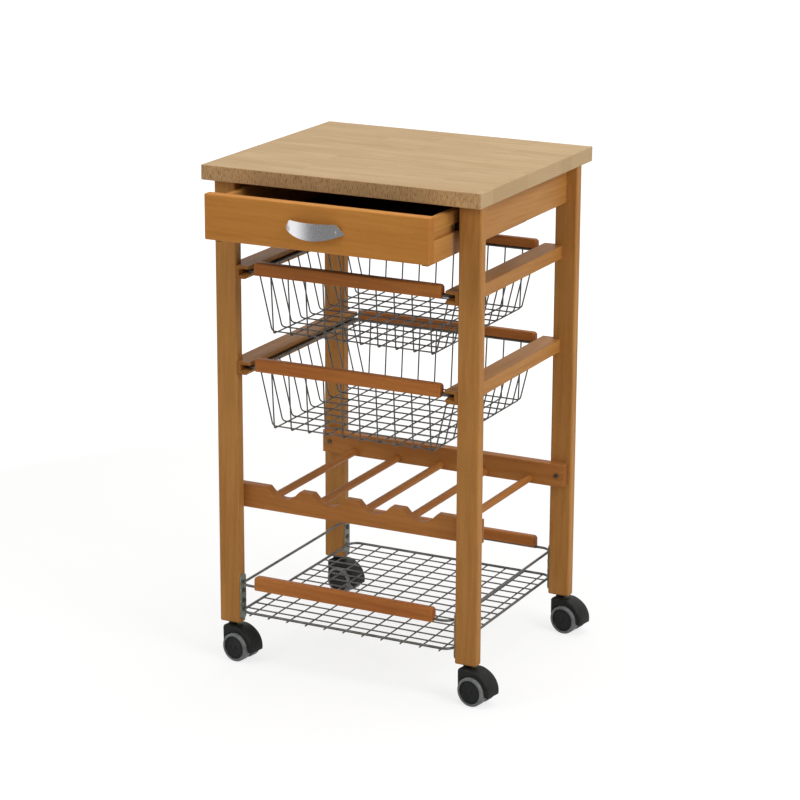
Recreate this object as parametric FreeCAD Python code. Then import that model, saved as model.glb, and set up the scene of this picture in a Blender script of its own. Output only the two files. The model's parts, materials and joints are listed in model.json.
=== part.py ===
import FreeCAD, Part
import math
import os

# Kitchen island cart: a beech frame on four twin-wheel casters, with a drawer under the worktop,
# two sliding wire baskets, a bottle rack and a wire shelf.
# Frame: X to the right, Y to the back, Z up, origin on the floor under the middle of the worktop.
# All sizes are in millimetres. The drawer is modelled partly open, the baskets closed.

# ---- worktop and legs
cart_height = 854.0
top_width = 500.0
top_depth = 440.0
top_thickness = 25.0
top_edge_round = 1.5
side_overhang = 10.0
front_overhang = 24.0
back_overhang = 20.0
leg_width = 39.0            # along X
leg_depth = 19.5            # along Y
leg_round = 3.0

# ---- aprons under the worktop
apron_height = 67.0
apron_thickness = 19.5
back_apron_thickness = 12.0
wood_round = 1.2            # eased arris of the smaller wooden pieces

# ---- drawer
drawer_open = 100.0         # how far the drawer stands open
drawer_reveal = 1.0         # gap between the drawer front and each leg
drawer_top_gap = 3.5
drawer_front_height = 75.0
drawer_front_thickness = 17.0
drawer_front_round = 2.5
drawer_side_gap = 11.0      # between a drawer side and the leg, holds the guide
drawer_side_thickness = 12.0
drawer_side_inset = 8.5     # the sides' upper edge below the top of the drawer front
drawer_side_drop = 5.5      # the sides hang this far below the drawer front
drawer_back_thickness = 12.0
drawer_back_gap = 2.0
drawer_bottom_thickness = 4.0
drawer_bottom_lift = 11.0   # underside of the bottom panel above the sides' lower edge
drawer_panel_groove = 4.0
panel_clearance = 0.1

# ---- drawer guides, screwed to the inside of the aprons
guide_height = 12.8
guide_drop = 40.5           # centre of the guide below the worktop
guide_reach = 4.4           # how far the guide enters the groove
guide_groove_depth = 5.0
guide_clearance = 0.4
guide_front_gap = 1.0       # between a guide and the closed drawer front
guide_back_inset = 0.5

# ---- drawer handle, a bowed steel crescent
handle_width = 106.0
handle_top_width = 82.0
handle_top_drop = 25.5      # the three heights are below the top of the drawer front
handle_tip_drop = 41.0
handle_bottom_drop = 53.0
handle_bow = 19.0
handle_thickness = 2.5
handle_post_spacing = 76.0
handle_post_radius = 4.5
handle_screw_radius = 2.0
handle_screw_bite = 6.0     # length of the screw inside its post

# ---- basket rails
rail_height = 22.0
rail_lip = 22.0             # stands inside the leg's inner face
rail_notch_width = 13.3     # the part of the rail that fills the space between the legs
rail_back_reach = 9.5       # the lip runs this far past the back leg's front face
rail_lower_round = 7.0      # inner lower edge, along the whole rail
rail_groove_depth = 17.0
rail_mouth_length = 12.0    # flared entry of the groove
rail_mouth_flare = 2.5
groove_clearance = 0.4

# ---- wire baskets
basket_drops = {"upper": 152.5, "lower": 314.9}     # rim wires below the worktop
basket_depth = 103.0
ring_radius = 3.0           # thick rim wire that slides in the groove
rim_radius = 2.0            # inner rim wire that carries the mesh
mesh_radius = 1.25
ring_end_gap = 3.0          # between the rim wire and the bottom of the groove
rim_gap = 3.5               # between the inner rim and the face of a rail
basket_front_inset = 10.5   # rim wire behind the front face of the legs
basket_back_inset = 19.5    # rim wire in front of the back face of the back legs
ring_corner = 20.0
basket_side_taper = 23.5
basket_end_taper = 8.0
long_wire_count = 10
long_wire_margin = 5.5      # outermost long wires inside the corners of the bottom
cross_wire_count = 11
cross_wire_margin = 5.0
cross_wire_bend = 7.0
long_wire_bend = 4.0
weld_gap = 0.05
cross_end_gap = 0.4         # sloping ends of the cross wires below the inner rim

# ---- wooden bars on the rims of the baskets and the shelf
bar_end_gap = 8.5           # between a basket bar and the face of a rail
bar_height = 22.0
bar_thickness = 15.0
bar_below_wire = 4.0        # bar's lower edge below the rim wire's centre
bar_round = 4.0
bar_end_round = 6.0         # upper corners at both ends
bar_slot_clearance = 0.1

# ---- bottle rack
rack_height = 40.0
rack_lift = 203.5           # rack's lower edge above the lower ends of the legs
rack_thickness = 18.0
rack_end_inset = 6.0        # rail ends inside the outer faces of the legs
bottle_pitch = 84.7         # leaves room for a bottle about 75 across
scallop_depth = 17.0
crest_width = 24.0
crest_chamfer = 5.0
rack_dowel_radius = 6.5
rack_dowel_lift = 8.5       # dowel's centre above the lower edge of the rails
rack_dowel_seat = 8.0
dowel_clearance = 0.05

# ---- wire shelf
shelf_lift = 25.0           # lower ring above the lower ends of the legs
shelf_height = 48.6         # between the two rings
shelf_overreach = 5.0       # the rings stand this far past the legs, front and back
shelf_corner = 18.0
shelf_ring_radius = 2.25
shelf_bar_height = 24.0
shelf_bar_end_gap = 34.0    # between a shelf bar and the inner face of a leg
shelf_long_count = 11
shelf_long_margin = 19.5    # outermost wires inside the side of the ring
shelf_cross_count = 14
shelf_cross_margin = 24.25
shelf_stub = 1.5            # wire ends stand out past the ring
strap_thickness = 2.0
strap_width = 17.0
strap_under = 19.0          # strap reaches this far below the lower ring
strap_over = 14.4
strap_screw_rises = [15.0, 33.0]      # above the lower ring

# ---- screws and hidden pins
screw_radius = 2.0
screw_length = 30.0
screw_head_radius = 4.0
screw_head_height = 2.4
socket_radius = 1.6
socket_depth = 1.4
screw_head_sink = 3.0
screw_clearance = 0.05
pin_radius = 3.0
pin_length = 20.0
pin_clearance = 0.05
apron_pin_inset = 17.0
back_pin_inset = 26.0
top_screw_radius = 2.25
top_screw_head_radius = 4.5
top_screw_bore_radius = 5.0
top_screw_bore_depth = 40.0
top_screw_bite = 15.0
top_screw_spacing = 220.0

# ---- casters
wheel_radius = 25.0
wheel_width = 18.0
wheel_round = 2.5
wheel_dish_radius = 19.0
wheel_dish_depth = 1.2
wheel_inner_gap = 0.6       # between a wheel and the web of the housing
web_thickness = 6.8
caster_trail = 18.4
caster_angle = -9.3         # direction in which the casters trail, from +X
hood_width = 34.0
hood_wall = 7.0
hood_wall_clearance = 1.5   # between the tread and the inside of the hood
hood_front_wall = 0.9       # least wall of the flat front, at the height of the axle
hood_front_lift = 6.0       # lower edge of the flat front above the axle
hood_round = 2.0
web_inset = 4.0             # web's disc is this much smaller than the wheels
boss_radius = 7.5
boss_rise = 2.5             # above the hood
axle_radius = 3.0
axle_length = 39.0
axle_clearance = 0.05
stem_radius = 4.0
stem_seat = 10.0            # length of the stem inside the housing
stem_into_leg = 30.0
stem_clearance = 0.05
collar_radius = 7.0
collar_height = 3.0
collar_gap = 0.3

# ---- worked out from the values above
wheel_room = wheel_radius + hood_wall_clearance
hood_radius = wheel_room + hood_wall
hood_front = wheel_room - caster_trail + hood_front_wall
hood_top = wheel_radius + hood_radius
boss_top = hood_top + boss_rise
stem_bottom = boss_top - stem_seat
leg_bottom = boss_top + collar_height
top_underside = cart_height - top_thickness
leg_out_x = top_width / 2 - side_overhang
leg_in_x = leg_out_x - leg_width
leg_mid_x = leg_out_x - leg_width / 2
front_leg_front = -top_depth / 2 + front_overhang
front_leg_back = front_leg_front + leg_depth
back_leg_back = top_depth / 2 - back_overhang
back_leg_front = back_leg_back - leg_depth
front_leg_mid = front_leg_front + leg_depth / 2
back_leg_mid = back_leg_front + leg_depth / 2
back_apron_front = back_leg_back - back_apron_thickness
apron_bottom = top_underside - apron_height
apron_mid_x = leg_in_x + apron_thickness / 2
guide_z = top_underside - guide_drop
front_top = top_underside - drawer_top_gap
handle_z = front_top - (handle_top_drop + handle_bottom_drop) / 2
front_face = front_leg_front - drawer_open
drawer_back_end = back_apron_front - drawer_back_gap - drawer_open
rail_face = leg_in_x - rail_lip
ring_half = rail_face + rail_groove_depth - ring_end_gap - ring_radius
rim_half = rail_face - rim_gap - rim_radius
ring_front = front_leg_front + basket_front_inset
ring_back = back_leg_back - basket_back_inset
rim_step = ring_radius + rim_radius + weld_gap
basket_ring_z = {name: top_underside - drop for name, drop in basket_drops.items()}
rack_bottom = leg_bottom + rack_lift
bottle_bays = int(2 * leg_in_x // bottle_pitch)
shelf_half = leg_in_x - strap_thickness - shelf_ring_radius
shelf_front = front_leg_front - shelf_overreach
shelf_back = back_leg_back + shelf_overreach
shelf_floor_z = leg_bottom + shelf_lift
shelf_ring_z = shelf_floor_z + shelf_height
side_names = {"left": -1, "right": 1}
leg_places = {"front_left": (-1, "front"), "front_right": (1, "front"),
              "back_left": (-1, "back"), "back_right": (1, "back")}


def vec(x, y, z):
    return FreeCAD.Vector(x, y, z)


def box(x0, x1, y0, y1, z0, z1):
    """Box between two corners given in any order."""
    low = vec(min(x0, x1), min(y0, y1), min(z0, z1))
    return Part.makeBox(abs(x1 - x0), abs(y1 - y0), abs(z1 - z0), low)


def rod(radius, start, end):
    """Round rod from one point to another."""
    a, b = vec(*start), vec(*end)
    return Part.makeCylinder(radius, (b - a).Length, a, b - a)


def along(axis, edge):
    """True if a straight edge runs along the named axis."""
    ends = edge.Vertexes
    step = ends[1].Point - ends[0].Point
    return abs(abs(getattr(step, axis)) - step.Length) < 1e-6


def eased(shape, radius, axes="xyz"):
    """Round the straight edges that run along the named axes."""
    picked = [e for e in shape.Edges if any(along(a, e) for a in axes)]
    return shape.makeFillet(radius, picked)


def rounded_path(points, bend, closed=False):
    """Wire through the points with an arc of radius bend at each corner."""
    pts = [vec(*p) for p in points]
    count = len(pts)
    corners = range(count) if closed else range(1, count - 1)
    starts, ends, arcs = {}, {}, {}
    for i in corners:
        before = (pts[i - 1] - pts[i]).normalize()
        after = (pts[(i + 1) % count] - pts[i]).normalize()
        half = before.getAngle(after) / 2
        tangent = bend / math.tan(half)
        middle = (before + after).normalize()
        centre = pts[i] + middle * (bend / math.sin(half))
        starts[i] = pts[i] + before * tangent
        ends[i] = pts[i] + after * tangent
        arcs[i] = Part.Arc(starts[i], centre - middle * bend, ends[i]).toShape()
    edges = []
    for i in range(count if closed else count - 1):
        a = ends.get(i, pts[i])
        j = (i + 1) % count
        b = starts.get(j, pts[j])
        edges.append(Part.LineSegment(a, b).toShape())
        if j in arcs:
            edges.append(arcs[j])
    return Part.Wire(edges)


def bent_wire(points, radius, bend, closed=False):
    """Round wire swept along the points with rounded corners."""
    path = rounded_path(points, bend, closed)
    first = path.Edges[0]
    start = first.valueAt(first.FirstParameter)
    section = Part.Wire([Part.makeCircle(radius, start, first.tangentAt(first.FirstParameter))])
    return path.makePipeShell([section], True, False)


def screw(head_face, direction, radius, length, head_radius, head_height):
    """Pan-head screw whose head stands on head_face; direction points along the shank."""
    face, way = vec(*head_face), vec(*direction)
    head = Part.makeCylinder(head_radius, head_height, face - way * head_height, way)
    shank = Part.makeCylinder(radius, length, face, way)
    socket = Part.makeCylinder(socket_radius, socket_depth, face - way * head_height, way)
    return head.fuse(shank).removeSplitter().cut(socket)


def spread(count, middle, half):
    """Evenly spaced places, the outermost half away from the middle."""
    return [middle - half + 2 * half * i / (count - 1) for i in range(count)]


def bored(shape, tools, gap):
    """Cut each rod of (radius, start, end) out of the shape, wider by the gap."""
    for radius, start, end in tools:
        shape = shape.cut(rod(radius + gap, start, end))
    return shape


def save(name, solids):
    """Write one node; a list makes a group of separate solids."""
    shape = Part.makeCompound(solids) if isinstance(solids, list) else solids
    count = len(shape.Solids)
    print(name, count, "solids", round(shape.Volume), "valid" if shape.isValid() else "NOT VALID")
    shape.exportStep("parts/" + name + ".step")


# ---- fasteners: where they go, used both for the pieces and for their holes

def leg_y_range(row):
    return (front_leg_front, front_leg_back) if row == "front" else (back_leg_front, back_leg_back)


def frame_pins():
    """Hidden wooden pins: (radius, start, end) of each."""
    half = pin_length / 2
    pins = []
    places = [(leg_in_x + rail_notch_width / 2, z) for z in basket_ring_z.values()]
    places += [(apron_mid_x, z) for z in (apron_bottom + apron_pin_inset, top_underside - apron_pin_inset)]
    for s in side_names.values():
        for x, z in places:
            for y in (front_leg_back, back_leg_front):
                pins.append((pin_radius, (s * x, y - half, z), (s * x, y + half, z)))
        for z in (apron_bottom + back_pin_inset, top_underside - back_pin_inset):
            y = back_leg_back - back_apron_thickness / 2
            pins.append((pin_radius, (s * (leg_in_x - half), y, z), (s * (leg_in_x + half), y, z)))
    return pins


def screw_places():
    """Identical screws: (face under the head, direction) of each."""
    places = []
    rack_mid_z = rack_bottom + rack_height / 2
    for s in side_names.values():
        places.append(((s * leg_mid_x, front_leg_back + rack_thickness, rack_mid_z), (0, -1, 0)))
        places.append(((s * leg_mid_x, back_leg_front - rack_thickness, rack_mid_z), (0, 1, 0)))
        head_x = leg_in_x - drawer_side_gap - guide_reach + screw_head_sink
        for y in (front_leg_back + leg_depth, back_leg_front - leg_depth):
            places.append(((s * head_x, y, guide_z), (s, 0, 0)))
        for y in (front_leg_mid, back_leg_mid):
            for rise in strap_screw_rises:
                face = (s * (leg_in_x - strap_thickness), y, shelf_floor_z + rise)
                places.append((face, (s, 0, 0)))
    return places


def screw_shanks():
    """Shank rods of the identical screws."""
    shanks = []
    for face, way in screw_places():
        end = tuple(face[i] + way[i] * screw_length for i in range(3))
        shanks.append((screw_radius, face, end))
    return shanks


def top_screw_places():
    half = top_screw_spacing / 2
    return [(s * apron_mid_x, y) for s in side_names.values() for y in (-half, half)]


def stem_rods():
    """Part of each caster stem that stands in a leg."""
    rods = {}
    for name, (s, row) in leg_places.items():
        y = sum(leg_y_range(row)) / 2
        rods[name] = (stem_radius, (s * leg_mid_x, y, leg_bottom),
                      (s * leg_mid_x, y, leg_bottom + stem_into_leg))
    return rods


def rack_dowel_rods():
    """Round bars under the crests and both shoulders of the bottle rack."""
    y0 = front_leg_back + rack_thickness - rack_dowel_seat
    y1 = back_leg_front - rack_thickness + rack_dowel_seat
    z = rack_bottom + rack_dowel_lift
    xs = spread(bottle_bays + 1, 0, bottle_pitch * bottle_bays / 2)
    return [(rack_dowel_radius, (x, y0, z), (x, y1, z)) for x in xs]


# ---- frame

def make_worktop():
    top = box(-top_width / 2, top_width / 2, -top_depth / 2, top_depth / 2, top_underside, cart_height)
    top = eased(top, top_edge_round)
    for x, y in top_screw_places():
        top = top.cut(rod(top_screw_radius + screw_clearance, (x, y, top_underside),
                          (x, y, top_underside + top_screw_bite)))
    return top


def make_leg(name):
    s, row = leg_places[name]
    y0, y1 = leg_y_range(row)
    leg = box(s * leg_in_x, s * leg_out_x, y0, y1, leg_bottom, top_underside)
    edges = [e for e in leg.Edges if min(v.Z for v in e.Vertexes) < top_underside - 1]
    leg = leg.makeFillet(leg_round, edges)
    leg = bored(leg, frame_pins(), pin_clearance)
    leg = bored(leg, screw_shanks(), screw_clearance)
    return bored(leg, [stem_rods()[name]], stem_clearance)


def make_side_apron(s):
    inner, outer = s * leg_in_x, s * (leg_in_x + apron_thickness)
    apron = box(inner, outer, front_leg_back, back_leg_front, apron_bottom, top_underside)
    apron = eased(apron, wood_round, "y")
    apron = bored(apron, frame_pins(), pin_clearance)
    apron = bored(apron, screw_shanks(), screw_clearance)
    for x, y in top_screw_places():
        bore_top = apron_bottom + top_screw_bore_depth
        apron = apron.cut(rod(top_screw_bore_radius, (x, y, apron_bottom), (x, y, bore_top)))
        apron = apron.cut(rod(top_screw_radius + screw_clearance, (x, y, bore_top), (x, y, top_underside)))
    return apron


def make_back_apron():
    apron = box(-leg_in_x, leg_in_x, back_apron_front, back_leg_back, apron_bottom, top_underside)
    apron = eased(apron, wood_round, "x")
    return bored(apron, frame_pins(), pin_clearance)


def make_top_screw(x, y):
    head_z = apron_bottom + top_screw_bore_depth
    length = top_underside + top_screw_bite - head_z
    return screw((x, y, head_z), (0, 0, 1), top_screw_radius, length, top_screw_head_radius,
                 screw_head_height)


def make_guide(s):
    """Black strip that carries one side of the drawer."""
    inner = leg_in_x - drawer_side_gap - guide_reach
    half = guide_height / 2
    guide = box(s * inner, s * leg_in_x, front_leg_front + drawer_front_thickness + guide_front_gap,
                back_leg_front - guide_back_inset, guide_z - half, guide_z + half)
    guide = eased(guide, wood_round, "y")
    guide = bored(guide, screw_shanks(), screw_clearance)
    for face, way in screw_places():
        if way[0] == s and abs(face[2] - guide_z) < 1e-6:
            mouth = (s * inner, face[1], face[2])
            guide = guide.cut(rod(screw_head_radius + 2 * guide_clearance, mouth, face))
    return guide


# ---- basket rails

def make_rail(name, s):
    """Grooved rail with a lip inside the legs and a wider stretch between them."""
    mid = basket_ring_z[name]
    z0, z1 = mid - rail_height / 2, mid + rail_height / 2
    back_end = back_leg_front + rail_back_reach
    lip = box(s * rail_face, s * leg_in_x, front_leg_front, back_end, z0, z1)
    lower_inner = [e for e in lip.Edges if along("y", e) and max(v.Z for v in e.Vertexes) < mid
                   and max(abs(v.X) for v in e.Vertexes) < leg_in_x - 1]
    lip = lip.makeFillet(rail_lower_round, lower_inner)
    filler = box(s * leg_in_x, s * (leg_in_x + rail_notch_width), front_leg_back, back_leg_front, z0, z1)
    rail = lip.fuse(filler).removeSplitter()
    half = ring_radius + groove_clearance
    outside = s * (rail_face - 1)
    rail = rail.cut(box(outside, s * (rail_face + rail_groove_depth), front_leg_front - 1, back_end + 1,
                        mid - half, mid + half))
    mouth_end = front_leg_front + rail_mouth_length
    corners = [(front_leg_front, half + rail_mouth_flare), (mouth_end, half),
               (mouth_end, -half), (front_leg_front, -half - rail_mouth_flare)]
    points = [vec(outside, y, mid + rise) for y, rise in corners]
    mouth = Part.Face(Part.makePolygon(points + points[:1]))
    rail = rail.cut(mouth.extrude(vec(s * (rail_groove_depth + 1), 0, 0)))
    return bored(rail, frame_pins(), pin_clearance)


# ---- bottle rack

def rack_blank(y0, y1, scalloped):
    half = leg_out_x - rack_end_inset
    z0, z1 = rack_bottom, rack_bottom + rack_height
    if not scalloped:
        return eased(box(-half, half, y0, y1, z0, z1), wood_round, "xz")
    edges = []

    def line(a, b):
        edges.append(Part.LineSegment(vec(a[0], y0, a[1]), vec(b[0], y0, b[1])).toShape())

    here = (-half, z1)
    line((-half, z0), here)
    chamfer_z = z1 - crest_chamfer
    open_half = bottle_pitch / 2 - crest_width / 2
    arc_half = open_half - crest_chamfer
    for mid in spread(bottle_bays, 0, bottle_pitch * (bottle_bays - 1) / 2):
        line(here, (mid - open_half, z1))
        line((mid - open_half, z1), (mid - arc_half, chamfer_z))
        edges.append(Part.Arc(vec(mid - arc_half, y0, chamfer_z), vec(mid, y0, z1 - scallop_depth),
                              vec(mid + arc_half, y0, chamfer_z)).toShape())
        line((mid + arc_half, chamfer_z), (mid + open_half, z1))
        here = (mid + open_half, z1)
    line(here, (half, z1))
    line((half, z1), (half, z0))
    line((half, z0), (-half, z0))
    rail = Part.Face(Part.Wire(edges)).extrude(vec(0, y1 - y0, 0))
    flats = [e for e in rail.Edges if along("x", e) and e.Length > 2 * crest_width]
    return rail.makeFillet(wood_round, flats)


def make_rack_rail(row):
    if row == "front":
        rail = rack_blank(front_leg_back, front_leg_back + rack_thickness, True)
    else:
        rail = rack_blank(back_leg_front - rack_thickness, back_leg_front, False)
    rail = bored(rail, screw_shanks(), screw_clearance)
    return bored(rail, rack_dowel_rods(), dowel_clearance)


# ---- wooden bars that clip over the rim wires

def make_bar(half, height, wire, outward):
    """Bar across a wire of (radius, y, z); its rebate for the wire opens downwards and to the inside."""
    wire_radius, wire_y, wire_z = wire
    outer = wire_y + outward * (bar_thickness / 2)
    inner = outer - outward * bar_thickness
    z0 = wire_z - bar_below_wire
    bar = box(-half, half, outer, inner, z0, z0 + height)
    corners = [e for e in bar.Edges if along("y", e) and min(v.Z for v in e.Vertexes) > z0 + 1]
    bar = bar.makeFillet(bar_end_round, corners)
    tops = [e for e in bar.Edges if not along("y", e) and min(v.Z for v in e.Vertexes) > z0 + 1]
    bar = bar.makeFillet(bar_round, tops)
    low = [e for e in bar.Edges if along("x", e) and max(v.Z for v in e.Vertexes) < z0 + 1]
    bar = bar.makeFillet(wood_round, low)
    reach = wire_radius + bar_slot_clearance
    rebate = box(-half - 1, half + 1, wire_y + outward * reach, inner - outward, z0 - 1, wire_z + reach)
    return bar.cut(rebate)


# ---- wire baskets

def rectangle(half, y0, y1, z):
    return [(-half, y0, z), (half, y0, z), (half, y1, z), (-half, y1, z)]


def make_basket_rims(name):
    """Thick sliding ring and the thinner inner rim beside it."""
    z = basket_ring_z[name]
    ring = bent_wire(rectangle(ring_half, ring_front, ring_back, z), ring_radius, ring_corner, True)
    rim = bent_wire(rectangle(rim_half, ring_front + rim_step, ring_back - rim_step, z), rim_radius,
                    ring_corner - ring_radius, True)
    return [ring, rim]


def make_long_wires(name):
    """U-shaped wires from the front rim down, under the basket and up to the back rim."""
    top = basket_ring_z[name] - rim_radius - weld_gap
    bottom = basket_ring_z[name] - basket_depth
    y0, y1 = ring_front + rim_step, ring_back - rim_step
    wires = []
    for x in spread(long_wire_count, 0, rim_half - basket_side_taper - long_wire_margin):
        points = [(x, y0, top), (x, y0 + basket_end_taper, bottom),
                  (x, y1 - basket_end_taper, bottom), (x, y1, top)]
        wires.append(bent_wire(points, mesh_radius, long_wire_bend))
    return wires


def make_cross_wires(name):
    """U-shaped wires from side to side, lying on the long wires."""
    top = basket_ring_z[name] - rim_radius - cross_end_gap
    bottom = basket_ring_z[name] - basket_depth + 2 * mesh_radius
    low = rim_half - basket_side_taper
    reach = (ring_back - ring_front) / 2 - rim_step - basket_end_taper - cross_wire_margin
    wires = []
    for y in spread(cross_wire_count, (ring_front + ring_back) / 2, reach):
        points = [(-rim_half, y, top), (-low, y, bottom), (low, y, bottom), (rim_half, y, top)]
        wires.append(bent_wire(points, mesh_radius, cross_wire_bend))
    return wires


# ---- wire shelf

def make_shelf_ring(z):
    corners = rectangle(shelf_half, shelf_front, shelf_back, z)
    return bent_wire(corners, shelf_ring_radius, shelf_corner, True)


def make_shelf_long_wires():
    """Straight wires from front to back under the lower ring."""
    reach = shelf_ring_radius + shelf_stub
    z = shelf_floor_z - shelf_ring_radius - mesh_radius
    xs = spread(shelf_long_count, 0, shelf_half - shelf_long_margin)
    return [rod(mesh_radius, (x, shelf_front - reach, z), (x, shelf_back + reach, z)) for x in xs]


def make_shelf_cross_wires():
    """Straight wires from side to side, lying on the long wires inside the lower ring."""
    half = shelf_half - shelf_ring_radius - weld_gap
    z = shelf_floor_z - shelf_ring_radius + mesh_radius
    reach = (shelf_back - shelf_front) / 2 - shelf_cross_margin
    ys = spread(shelf_cross_count, (shelf_front + shelf_back) / 2, reach)
    return [rod(mesh_radius, (-half, y, z), (half, y, z)) for y in ys]


def make_strap(s, y):
    """Flat steel strap with round ends that carries both shelf rings on a leg."""
    r = strap_width / 2
    inner, outer = s * (leg_in_x - strap_thickness), s * leg_in_x
    z0, z1 = shelf_floor_z - strap_under + r, shelf_ring_z + strap_over - r
    strap = box(inner, outer, y - r, y + r, z0, z1)
    for z in (z0, z1):
        strap = strap.fuse(rod(r, (inner, y, z), (outer, y, z)))
    return bored(strap.removeSplitter(), screw_shanks(), screw_clearance)


# ---- drawer

def drawer_side_z():
    return front_top - drawer_front_height - drawer_side_drop, front_top - drawer_side_inset


def drawer_side_x():
    outer = leg_in_x - drawer_side_gap
    return outer - drawer_side_thickness, outer


def drawer_bottom_panel(gap):
    """Bottom panel, or with a gap the room that its grooves need."""
    inner, outer = drawer_side_x()
    z = drawer_side_z()[0] + drawer_bottom_lift
    x = inner + drawer_panel_groove - panel_clearance + gap
    y0 = front_face + drawer_front_thickness - drawer_panel_groove + panel_clearance - gap
    return box(-x, x, y0, drawer_back_end, z - gap, z + drawer_bottom_thickness + gap)


def make_drawer_front():
    half = leg_in_x - drawer_reveal
    front = box(-half, half, front_face, front_face + drawer_front_thickness,
                front_top - drawer_front_height, front_top)
    front = eased(front, drawer_front_round)
    front = front.cut(drawer_bottom_panel(panel_clearance))
    return bored(front, handle_screw_rods(), screw_clearance)


def make_drawer_side(s):
    inner, outer = drawer_side_x()
    z0, z1 = drawer_side_z()
    side = box(s * inner, s * outer, front_face + drawer_front_thickness, drawer_back_end, z0, z1)
    side = eased(side, wood_round, "y")
    half = guide_height / 2 + guide_clearance
    side = side.cut(box(s * (outer - guide_groove_depth), s * (outer + 1),
                        front_face + drawer_front_thickness - 1,
                        drawer_back_end + 1, guide_z - half, guide_z + half))
    return side.cut(drawer_bottom_panel(panel_clearance))


def make_drawer_back():
    inner, outer = drawer_side_x()
    side_z0, side_z1 = drawer_side_z()
    z0 = side_z0 + drawer_bottom_lift + drawer_bottom_thickness
    back = box(-inner, inner, drawer_back_end - drawer_back_thickness, drawer_back_end, z0, side_z1)
    return eased(back, wood_round, "x")


# ---- handle

def handle_screw_rods():
    """Screws from the inside of the drawer front into the handle's posts."""
    rods = []
    for s in side_names.values():
        x = s * handle_post_spacing / 2
        start = (x, front_face + drawer_front_thickness, handle_z)
        rods.append((handle_screw_radius, start, (x, front_face - handle_screw_bite, handle_z)))
    return rods


def make_handle():
    """Crescent plate bowed about a vertical axis, with two posts on its back."""
    half = handle_width / 2
    outer = (half ** 2 + handle_bow ** 2) / (2 * handle_bow)
    axis_y = front_face + outer - handle_bow
    tip_z, top_z, bottom_z = (front_top - drop for drop in (handle_tip_drop, handle_top_drop,
                                                            handle_bottom_drop))
    low, high = bottom_z - 1, top_z + 1
    shell = rod(outer, (0, axis_y, low), (0, axis_y, high))
    shell = shell.cut(rod(outer - handle_thickness, (0, axis_y, low - 1), (0, axis_y, high + 1)))
    y0 = front_face - handle_bow - 1
    top = handle_top_width / 2
    outline = [Part.LineSegment(vec(-half, y0, tip_z), vec(-top, y0, top_z)).toShape(),
               Part.LineSegment(vec(-top, y0, top_z), vec(top, y0, top_z)).toShape(),
               Part.LineSegment(vec(top, y0, top_z), vec(half, y0, tip_z)).toShape(),
               Part.Arc(vec(half, y0, tip_z), vec(0, y0, bottom_z),
                        vec(-half, y0, tip_z)).toShape()]
    blank = Part.Face(Part.Wire(outline)).extrude(vec(0, handle_bow + 1, 0))
    handle = shell.common(blank)
    for radius, start, end in handle_screw_rods():
        post = rod(handle_post_radius, (start[0], front_face, start[2]), (start[0], y0, start[2]))
        inside = rod(outer - handle_thickness / 2, (0, axis_y, low), (0, axis_y, high))
        handle = handle.fuse(post.common(inside))
    return bored(handle.removeSplitter(), handle_screw_rods(), screw_clearance)


def make_handle_screw(hole):
    radius, start, end = hole
    return screw(start, (0, -1, 0), radius, start[1] - end[1], screw_head_radius, screw_head_height)


# ---- casters, made at the stem with the trail along +X and then turned

def placed(shape, name):
    """Move a caster piece under its leg and turn it to the trailing direction."""
    s, row = leg_places[name]
    moved = shape.copy()
    moved.rotate(vec(0, 0, 0), vec(0, 0, 1), caster_angle)
    moved.translate(vec(s * leg_mid_x, sum(leg_y_range(row)) / 2, 0))
    return moved


def cross_rod(radius, y0, y1):
    """Round rod along the axle of the wheels."""
    return rod(radius, (caster_trail, y0, wheel_radius), (caster_trail, y1, wheel_radius))


def make_housing():
    """Hood over both wheels with a middle web and a boss for the stem."""
    half, web = hood_width / 2, web_thickness / 2
    room = box(-hood_front, caster_trail + hood_radius, -half, half, wheel_radius, boss_top)
    hood = cross_rod(hood_radius, -half, half).common(room)
    front_bottom = wheel_radius + hood_front_lift
    front = box(-hood_front, caster_trail, -half, half, front_bottom, hood_top - hood_round)
    hood = hood.fuse(eased(front, hood_round, "z"))
    hood = hood.fuse(rod(boss_radius, (0, 0, front_bottom + boss_radius), (0, 0, boss_top)))
    for s in (-1, 1):
        hood = hood.cut(cross_rod(wheel_room, s * web, s * (half + 1)))
    housing = hood.fuse(cross_rod(wheel_radius - web_inset, -web, web)).removeSplitter()
    housing = housing.cut(cross_rod(axle_radius, -half, half))
    seat_end = (0, 0, stem_bottom - collar_gap)
    return housing.cut(rod(stem_radius + stem_clearance, seat_end, (0, 0, boss_top + 1)))


def make_axle():
    return cross_rod(axle_radius, -axle_length / 2, axle_length / 2)


def make_wheel(s):
    """Wheel with a rounded tread, a dished outer face and a blind bore for the axle."""
    inner = web_thickness / 2 + wheel_inner_gap
    outer = inner + wheel_width
    wheel = cross_rod(wheel_radius, s * inner, s * outer)
    rims = [e for e in wheel.Edges if abs(e.Length - 2 * math.pi * wheel_radius) < 1e-3]
    wheel = wheel.makeFillet(wheel_round, rims)
    wheel = wheel.cut(cross_rod(wheel_dish_radius, s * (outer - wheel_dish_depth), s * (outer + 1)))
    bore_end = axle_length / 2 + wheel_inner_gap
    return wheel.cut(cross_rod(axle_radius + axle_clearance, s * (inner - 1), s * bore_end))


def make_stem():
    """Steel stem with the collar that carries the leg."""
    stem = rod(stem_radius, (0, 0, stem_bottom), (0, 0, leg_bottom + stem_into_leg))
    return stem.fuse(rod(collar_radius, (0, 0, boss_top + collar_gap), (0, 0, leg_bottom))).removeSplitter()


# ---- build everything

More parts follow.
